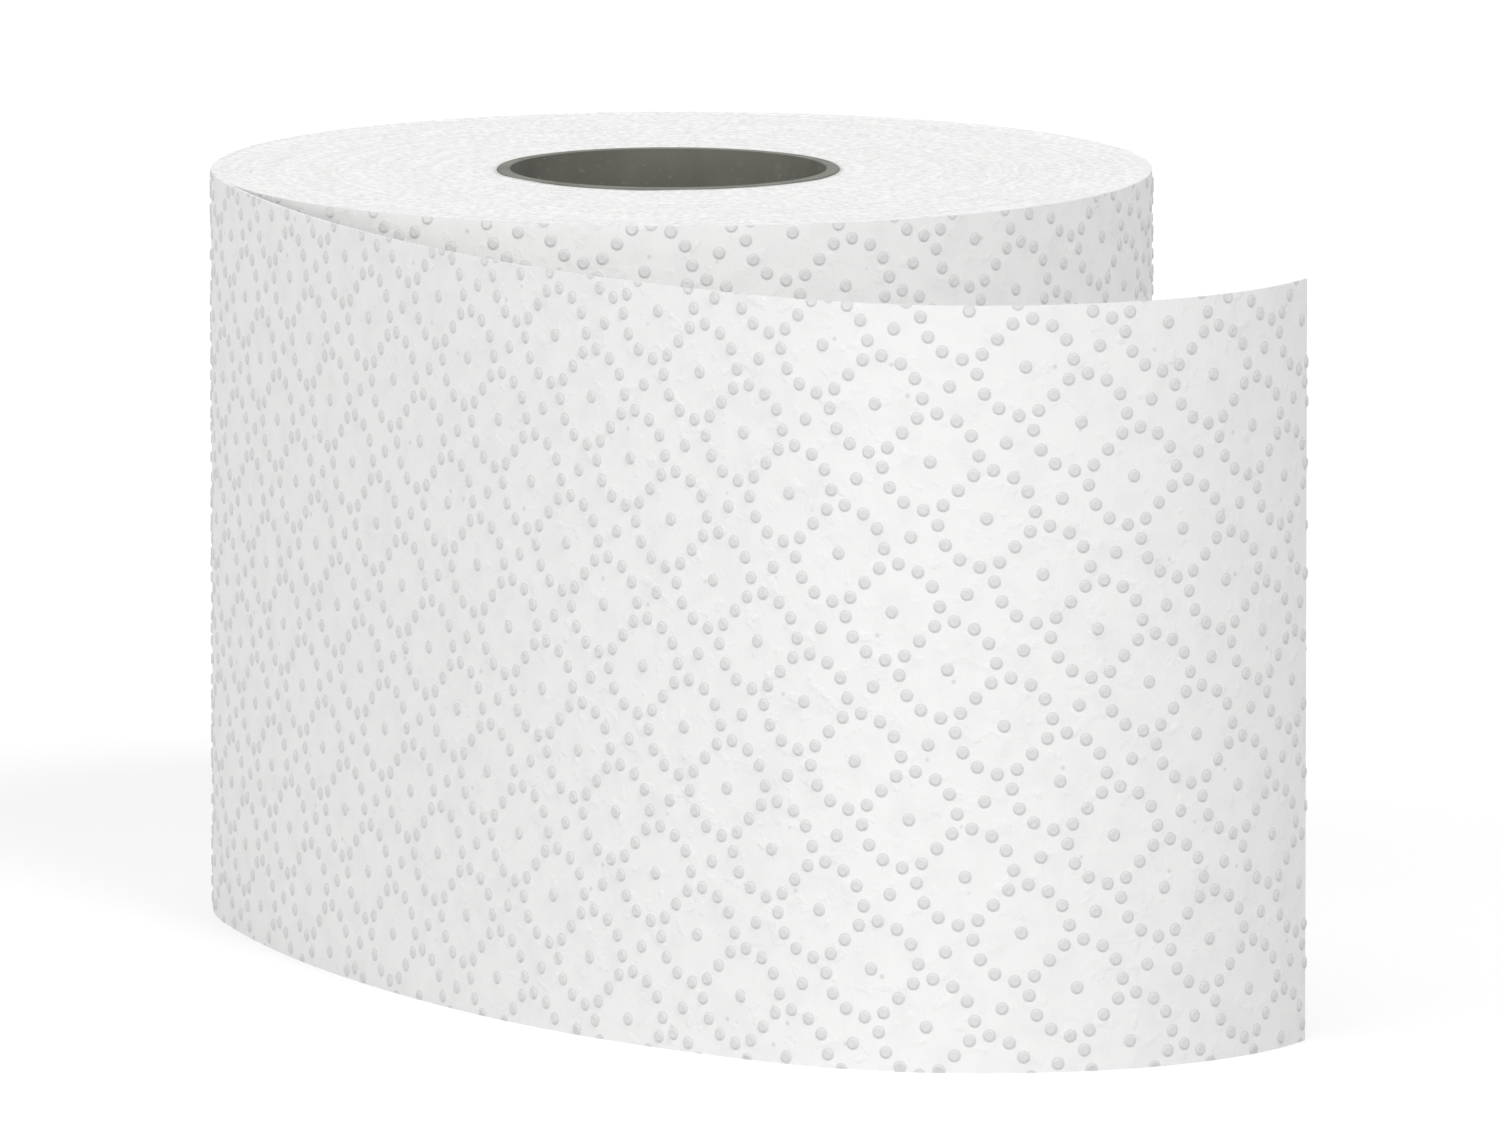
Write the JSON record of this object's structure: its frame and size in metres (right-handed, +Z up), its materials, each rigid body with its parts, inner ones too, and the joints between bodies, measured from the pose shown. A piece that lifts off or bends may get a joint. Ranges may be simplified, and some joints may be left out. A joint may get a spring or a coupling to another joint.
{
  "type": "toilet paper roll",
  "caption": "Roll of white dot-embossed toilet tissue standing on its end, wound on a grey card core, with a loose tail that swings out in front and curls at its cut end.",
  "frame": {"origin": "on the core's axis, at the lower end that the roll stands on", "axes": "+Z up along the core's axis; the loose tail swings out towards -Y and curls round to +X"},
  "size_m": [0.1373, 0.1985, 0.095],
  "materials": {
    "card": "matte",
    "tissue": "matte"
  },
  "bodies": {
    "root": {"core_tube": "card", "paper_roll": "tissue"}
  },
  "joints": []
}
